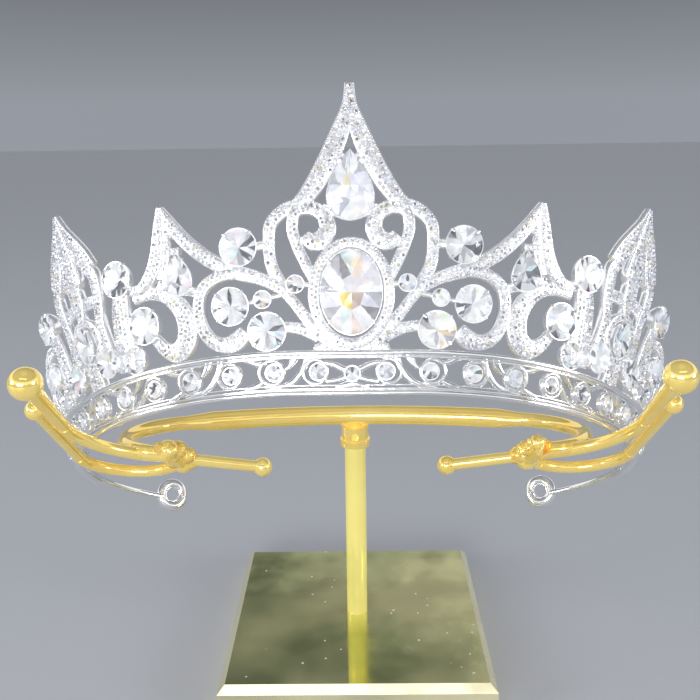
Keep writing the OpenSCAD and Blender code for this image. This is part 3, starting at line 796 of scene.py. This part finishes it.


# Painted reflections of the two big stones: each is a painted reflection in a foil facet, light, dark or
# faintly coloured. Sectors run from the right against the clock, and the heart quarters are those behind the
# table.
OVAL_PAINTED_HEARTS = [(1.0, 0.95, 0.94), (1.0, 1.0, 1.0), (1.0, 0.78, 0.25), (0.72, 0.58, 0.48)]
OVAL_PAINTED_TONES = [(1.0, 0.95, 0.93), (1.0, 0.86, 0.78), (0.42, 0.42, 0.43), (0.98, 0.98, 0.98), (0.95, 0.93, 1.0),
              (0.84, 0.98, 0.96), (1.0, 1.0, 1.0), (0.93, 0.93, 1.0)]
PEAR_PAINTED_HEARTS = [(0.86, 0.86, 0.97), (1.0, 0.90, 0.66), (0.97, 0.97, 0.97), (0.92, 0.92, 0.93)]
PEAR_PAINTED_TONES = [(0.92, 0.92, 1.0), (1.0, 1.0, 1.0), (0.98, 0.97, 0.94), (0.9, 0.9, 0.93), (1.0, 1.0, 1.0),
              (0.60, 0.62, 0.66), (1.0, 1.0, 1.0), (0.85, 0.86, 0.9)]
# SMALL_FLASH is the share of a small stone's foil facets that take a painted flash of colour.
SMALL_FLASH = 0.05
SMALL_MAINS = 6
ROUND_MAINS = 10
OWN_CUTS = {
    "centre_oval": {"mains": 8, "flash": 0.0, "tones": OVAL_PAINTED_TONES, "painted_hearts": OVAL_PAINTED_HEARTS},
    "centre_pear": {"mains": 8, "flash": 0.0, "tones": PEAR_PAINTED_TONES, "painted_hearts": PEAR_PAINTED_HEARTS},
}


def add_stone(shell, kind, along, up, w, h, turn, cut):
    place = at_wall(along, up, turn)
    points, faces, slots, colours = brilliant(kind, w, h, **cut)
    shell.add([place @ p for p in points], faces, slots, colours)


def make_stones():
    for name, kind, along, up, w, h, turn in all_stones():
        plain = {"mains": ROUND_MAINS if w > BIG_STONE else SMALL_MAINS, "flash": SMALL_FLASH}
        shell = Shell()
        add_stone(shell, kind, along, up, w, h, turn, OWN_CUTS.get(name, plain))
        shell.build("stone_" + name, [GLASS, FOIL], slot="clear_stone", replaces=(name,), painted_facets=True)
    shell = Shell()
    for along, up, w in band_places():
        add_stone(shell, "round", along, up, w, w, 0, {"mains": SMALL_MAINS, "flash": SMALL_FLASH})
    shell.build("stones_band", [GLASS, FOIL], slot="clear_stone", replaces=("band_stones",), painted_facets=True)


# Fine stones on the ribbons

ALL_STONES = list(all_stones())
CHIP_SIDES = 6
CHIP_PITCH = 1.16
CHIP_MOST_D = 1.12
CHIP_SPREAD = 1.03
CHIP_TABLE = 0.55
CHIP_GIRDLE = 0.35
CHIP_POINT = 0.3
# Painted light on the chips: some take a painted flash of colour, and each facet takes a light or dark
# painted reflection.
CHIP_FLASH_SHARE = 0.12
CHIP_PAINTED_TONES = (1.0, 1.0, 1.0, 0.95, 0.95, 0.85, 0.6, 0.3)
CHIP_PAINTED_FLASHES = ((1.0, 0.93, 0.74), (1.0, 0.96, 0.84), (0.86, 0.93, 1.0))
MOST_LANES = 4
LANE_W = 1.02
RIM = 0.36
CUP_ROOM = 0.35
PRONG_SIDES = 5
PRONG_R = 0.15
PRONG_REACH = 0.13
PRONG_INSET = 0.26
CELL = 1.5
CROWDING = 0.86
taken = {}


def free_place(place, reach):
    """True if no chip lies within reach, and then remembers the place."""
    cell = tuple(math.floor(c / CELL) for c in place)
    for step in itertools.product((-1, 0, 1), repeat=3):
        for other, r in taken.get(tuple(c + s for c, s in zip(cell, step)), ()):
            if (other - place).length < (reach + r) * CROWDING:
                return False
    taken.setdefault(cell, []).append((place, reach))
    return True


def under_stone(along, up, reach):
    """True if a chip there would lie under a stone or its cup."""
    room = CUP_ROOM + reach * 0.7
    for name, kind, a, u, w, h, turn in ALL_STONES:
        x, y = along - a, up - u
        if abs(x) > w or abs(y) > h:
            continue
        if (x / (w / 2 + room)) ** 2 + (y / (h / 2 + room)) ** 2 < 1:
            if kind != "pear" or y < h * 0.2 or abs(x) < (h / 2 - y) * 0.5 + 0.4:
                return True
    return False


def chip(shell, place, out, ahead, r, tall):
    """A tiny cut stone: a table, a ring of facets and a short point into the ribbon."""
    tilt = Vector((RNG.uniform(-0.1, 0.1), RNG.uniform(-0.1, 0.1), RNG.uniform(-0.1, 0.1)))
    normal = (out + tilt).normalized()
    x = (ahead - normal * ahead.dot(normal)).normalized()
    y = normal.cross(x)
    spin = RNG.uniform(0, math.tau)

    def ring(radius, z, shift):
        angles = [spin + a for a in circle(CHIP_SIDES, shift)]
        return [place + (x * math.cos(a) + y * math.sin(a)) * radius + normal * z for a in angles]

    points = ring(r * CHIP_TABLE, tall, 0.0) + ring(r, tall * CHIP_GIRDLE, 0.5)
    points.append(place - normal * CHIP_POINT)
    faces = [tuple(range(CHIP_SIDES))]
    for i in range(CHIP_SIDES):
        j = (i + 1) % CHIP_SIDES
        low_i, low_j = CHIP_SIDES + i, CHIP_SIDES + j
        faces += [(i, low_i, j), (low_i, low_j, j), (2 * CHIP_SIDES, low_j, low_i)]
    # Painted light: each facet takes a light or dark painted reflection, and some chips a painted flash of
    # colour.
    tones = []
    for _ in faces:
        t = RNG.choice(CHIP_PAINTED_TONES) * RNG.uniform(0.9, 1.0)
        tones.append((t, t, min(1.0, t * 1.02)))
    if RNG.random() < CHIP_FLASH_SHARE:
        flash_tint = RNG.choice(CHIP_PAINTED_FLASHES)
        tones = [tuple(a * b for a, b in zip(tone, flash_tint)) for tone in tones]
    shell.add(points, faces, tones=tones)


def bead(shell, place, out, r):
    """A tiny round prong."""
    side = out.orthogonal().normalized()
    over = out.cross(side)
    points = [place + out * r * 0.8]
    for z, q in ((0.45, 0.8), (-0.6, 1.0)):
        points += [place + (side * math.cos(a) + over * math.sin(a)) * r * q + out * r * z
                   for a in circle(PRONG_SIDES)]
    faces = []
    for i in range(PRONG_SIDES):
        j = (i + 1) % PRONG_SIDES
        low_i, low_j = PRONG_SIDES + 1 + i, PRONG_SIDES + 1 + j
        faces += [(0, 1 + i, 1 + j), (1 + i, low_i, low_j, 1 + j)]
    faces.append(tuple(range(2 * PRONG_SIDES, PRONG_SIDES, -1)))
    shell.add(points, faces)


def arc_places(path, closed, pitch, shift=0.0):
    """Rows (along, up, width, direction) every pitch millimetres along a path."""
    rows = list(path) + ([path[0]] if closed else [])
    run, target = 0.0, pitch * (0.5 + shift)
    for a, b in zip(rows, rows[1:]):
        pa, pb = wall(a[0], a[1]), wall(b[0], b[1])
        gap = (pb - pa).length
        while gap > 0 and run + gap >= target:
            t = (target - run) / gap
            yield tuple(p + (q - p) * t for p, q in zip(a, b)), (pb - pa).normalized()
            target += pitch
        run += gap


def lay_chips(shell, path, front, closed):
    """Chips in one lane or more along a ribbon, as its width allows."""
    for lane in range(MOST_LANES):
        for (along, up, width), ahead in arc_places(path, closed, CHIP_PITCH, 0.5 * (lane % 2)):
            room = width - 2 * RIM
            lanes = max(1, min(MOST_LANES, round(room / LANE_W)))
            if lane >= lanes:
                continue
            along_dir, up_dir, out = wall_axes(along)
            side = ahead.cross(out).normalized()
            offset = (lane - (lanes - 1) / 2) * room / lanes
            r = min(room / lanes, CHIP_MOST_D) / 2 * CHIP_SPREAD
            place = wall(along, up, front) + side * offset
            here_along = along + side.dot(along_dir) * offset
            here_up = up + side.dot(up_dir) * offset
            if under_stone(here_along, here_up, r) or not free_place(place, r):
                continue
            chip(shell, place, out, ahead, r, RNG.uniform(0.26, 0.34))


def lay_prongs(shell, path, front, closed):
    """Prongs along both edges of a ribbon."""
    for edge in (-1, 1):
        for (along, up, width), ahead in arc_places(path, closed, CHIP_PITCH * 0.5):
            out = wall_axes(along)[2]
            side = ahead.cross(out).normalized()
            place = wall(along, up, front + 0.02) + side * edge * (width / 2 - PRONG_INSET)
            if free_place(place, PRONG_REACH):
                bead(shell, place, out, PRONG_R)


def make_pave():
    """Chips and prongs on every ribbon. The ribbons that stand out most come first."""
    chips, prongs = Shell(), Shell()
    for path, lift, closed in sorted(pave_paths(), key=lambda row: -row[1]):
        lay_chips(chips, path, HALF_T + lift, closed)
        lay_prongs(prongs, path, HALF_T + lift, closed)
    return chips, prongs


make_ribbons().build("frame_ribbons", [SILVER], sharp=50, slot="tiara_silver", replaces=("tiara_frame",))
make_rails().build("frame_rails", [RAIL_SILVER], sharp=50, slot="tiara_silver")
make_scrolls().build("frame_scrolls", [RAIL_SILVER], sharp=50, slot="tiara_silver")
make_tails().build("frame_tails", [RAIL_SILVER], sharp=50, slot="tiara_silver")
make_cups().build("frame_cups", [SILVER], sharp=35, slot="tiara_silver")
make_stones()
pave_chips, pave_prongs = make_pave()
pave_chips.build("pave_chips", [CHIP], slot="clear_stone", painted_facets=True)
pave_prongs.build("pave_prongs", [SILVER], sharp=60, slot="tiara_silver")


# Stand

def dress(node, material):
    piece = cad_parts[node]
    piece.data.materials.clear()
    piece.data.materials.append(material)


# Painted light on the plate: PLATE_SHADE_X is the reach of its painted side shade either side of its middle,
# its olive is a painted reflection, and its cream edge a painted highlight.
PLATE_SHADE_X = 0.036
PLATE_BRIGHT = (1.0, 0.96, 0.50)
PLATE_PAINTED_REFLECTION = (0.52, 0.56, 0.26)
PLATE_EDGE_HIGHLIGHT = (1.0, 0.93, 0.62)
PLATE_DUST = (1.0, 0.97, 0.85)


def plate_material():
    """A gold mirror with smudges and some dust. Its olive is a painted reflection, it is painted in shade to
    the left and paler to the right, and its cream edge is a painted highlight.
    """
    material, tree, shader = new_material("plate_gold")
    across = axis_of(tree, tree.nodes.new("ShaderNodeTexCoord").outputs["Object"], "X")
    # Painted shade: the plate is painted darker to the left and paler to the right, on top of its smudges.
    lean = ramp(tree, across, 0.14, -0.14, -PLATE_SHADE_X, PLATE_SHADE_X)
    dark = ramp(tree, calculate(tree, "ADD", noise(tree, 22, 3.0), lean), 0, 1, 0.38, 0.62)
    level = axis_of(tree, tree.nodes.new("ShaderNodeNewGeometry").outputs["Normal"], "Z")
    speck = ramp(tree, noise(tree, 190, 0.0, "ShaderNodeTexVoronoi"), 1.0, 0.0, 0.05, 0.09)
    # Painted reflection: the smudges and the shaded side take an olive colour that stands for dark
    # surroundings reflected in the mirror.
    olive = mix(tree, dark, PLATE_BRIGHT, PLATE_PAINTED_REFLECTION)
    # Painted highlight: the plate's edge, where its surface turns away from level, is painted cream.
    with_painted_edge_highlight = mix(tree, ramp(tree, level, 1.0, 0.0, 0.85, 0.95), olive, PLATE_EDGE_HIGHLIGHT)
    tree.links.new(mix(tree, speck, with_painted_edge_highlight, PLATE_DUST), shader.inputs["Base Color"])
    clean = ramp(tree, speck, 1.0, 0.2, 0.0, 1.0)
    metallic = calculate(tree, "MULTIPLY", clean, ramp(tree, dark, 0.76, 1.0, 0.0, 1.0))
    tree.links.new(metallic, shader.inputs["Metallic"])
    tree.links.new(ramp(tree, noise(tree, 34, 4.0), 0.02, 0.34, 0.42, 0.72), shader.inputs["Roughness"])
    add_bump(tree, shader, noise(tree, 18, 1.0), 0.0002)
    return material


# Rough solder where the bow, the inner rod and the outer rod's hook meet. It only lies on those rods.

BOW_FOOT = Vector((45.2, 28.6, -2.3))
HOOK_END = Vector((43.2, 38.3, -2.3))
LUMPS = 16
LUMP_LAYERS = 8
LUMP_SIDES = 10


def blob(shell, centre, r):
    """A lump with an uneven surface."""
    rings = []
    for i in range(1, LUMP_LAYERS):
        rise = math.pi * (i / LUMP_LAYERS - 0.5)
        ring = []
        for a in circle(LUMP_SIDES):
            way = Vector((math.cos(rise) * math.cos(a), math.cos(rise) * math.sin(a), math.sin(rise)))
            ring.append(centre + way * r * RNG.uniform(0.86, 1.1))
        rings.append(ring)
    shell.sweep(rings)


def make_solder():
    shell = Shell()
    for flip in FLIPS:
        for _ in range(LUMPS):
            middle = BOW_FOOT.lerp(HOOK_END, RNG.uniform(-0.15, 1.0))
            middle += Vector((RNG.uniform(-3.2, 1.6), RNG.uniform(-0.6, 0.6), RNG.uniform(-0.4, 1.0)))
            middle.x *= flip
            blob(shell, middle, RNG.uniform(1.3, 2.2))
    return shell


make_solder().build("cradle_solder", [SOLDER], sharp=50, slot="stand_gold")
PLATE = plate_material()
for node, material in (("base_plate", PLATE), ("post", POST_GOLD), ("collar", GOLD), ("cradle", GOLD)):
    dress(node, material)

# Studio: a pale floor, a soft sky with a bright band some way above the horizon, and soft lights

FLOOR_SIDE = 6.0
FLOOR_COLOUR = (0.54, 0.56, 0.60)


def make_floor():
    mesh = bpy.data.meshes.new("floor")
    s = FLOOR_SIDE / 2
    mesh.from_pydata([(-s, -s, 0), (s, -s, 0), (s, s, 0), (-s, s, 0)], [], [(0, 1, 2, 3)])
    material, tree, shader = new_material("floor_paper")
    shader.inputs["Base Color"].default_value = (*FLOOR_COLOUR, 1)
    shader.inputs["Roughness"].default_value = 0.75
    mesh.materials.append(material)
    floor = bpy.data.objects.new("floor", mesh)
    bpy.context.scene.collection.objects.link(floor)


def colour_ramp(tree, source, stops):
    node = tree.nodes.new("ShaderNodeValToRGB")
    tree.links.new(source, node.inputs["Fac"])
    rows = node.color_ramp.elements
    rows[0].position, rows[1].position = stops[0][0], stops[-1][0]
    rows[0].color, rows[1].color = (*stops[0][1], 1), (*stops[-1][1], 1)
    for position, colour in stops[1:-1]:
        rows.new(position).color = (*colour, 1)
    return node.outputs["Color"]


# Sky brightness by height, where 1 is straight up, and by the side it comes from: 0 is the back, 1 the front
SKY_BY_HEIGHT = [
    (0.0, (0.355, 0.38, 0.425)), (0.05, (0.29, 0.31, 0.345)), (0.13, (0.20, 0.21, 0.235)),
    (0.17, (1.1, 1.11, 1.13)), (0.45, (1.05, 1.06, 1.1)), (0.49, (0.22, 0.23, 0.25)),
    (0.64, (0.22, 0.23, 0.25)), (0.76, (0.28, 0.29, 0.32)), (0.9, (0.25, 0.26, 0.29)), (1.0, (0.5, 0.5, 0.5)),
]
SKY_BY_DEPTH = [
    (0.0, (0.85, 0.85, 0.85)), (0.38, (1.0, 1.0, 1.0)), (0.45, (0.85, 0.85, 0.85)), (0.52, (1.0, 1.0, 1.0)),
    (0.85, (1.0, 1.0, 1.0)), (0.87, (0.7, 0.7, 0.7)), (0.89, (1.0, 1.0, 1.0)), (1.0, (1.1, 1.1, 1.1)),
]


def make_sky():
    world = bpy.data.worlds.new("studio")
    bpy.context.scene.world = world
    world.use_nodes = True
    tree = world.node_tree
    place = tree.nodes.new("ShaderNodeTexCoord").outputs["Generated"]
    height = colour_ramp(tree, axis_of(tree, place, "Z"), SKY_BY_HEIGHT)
    depth = colour_ramp(tree, ramp(tree, axis_of(tree, place, "Y"), 0, 1, 1.0, -1.0), SKY_BY_DEPTH)
    background = tree.nodes["Background"]
    tree.links.new(mix(tree, 1.0, height, depth, "MULTIPLY"), background.inputs["Color"])
    background.inputs["Strength"].default_value = 1.0


def soft_light(name, place, width, height, bright, colour=(1, 1, 1), aim=(0, -0.03, 0.11)):
    """A rectangular lamp. bright is what a mirror would see of it, where 1 is white."""
    light = bpy.data.lights.new(name, "AREA")
    light.shape = "RECTANGLE"
    light.size, light.size_y = width, height
    light.energy = bright * width * height * math.pi
    light.color = colour
    lamp = bpy.data.objects.new(name, light)
    lamp.location = place
    lamp.rotation_euler = (Vector(aim) - Vector(place)).to_track_quat("-Z", "Y").to_euler()
    bpy.context.scene.collection.objects.link(lamp)


make_floor()
make_sky()
soft_light("key", (-0.28, -0.95, 0.28), 0.60, 0.20, 12.0, (1.0, 0.99, 0.97))
soft_light("right", (0.85, -0.35, 0.26), 0.30, 0.20, 12.0, (0.97, 0.98, 1.0))
soft_light("left", (-0.85, -0.30, 0.26), 0.30, 0.20, 12.0, (0.97, 0.98, 1.0))
soft_light("top", (0.0, -0.60, 0.74), 0.70, 0.14, 1.3)
bpy.context.scene.view_settings.view_transform = "Standard"
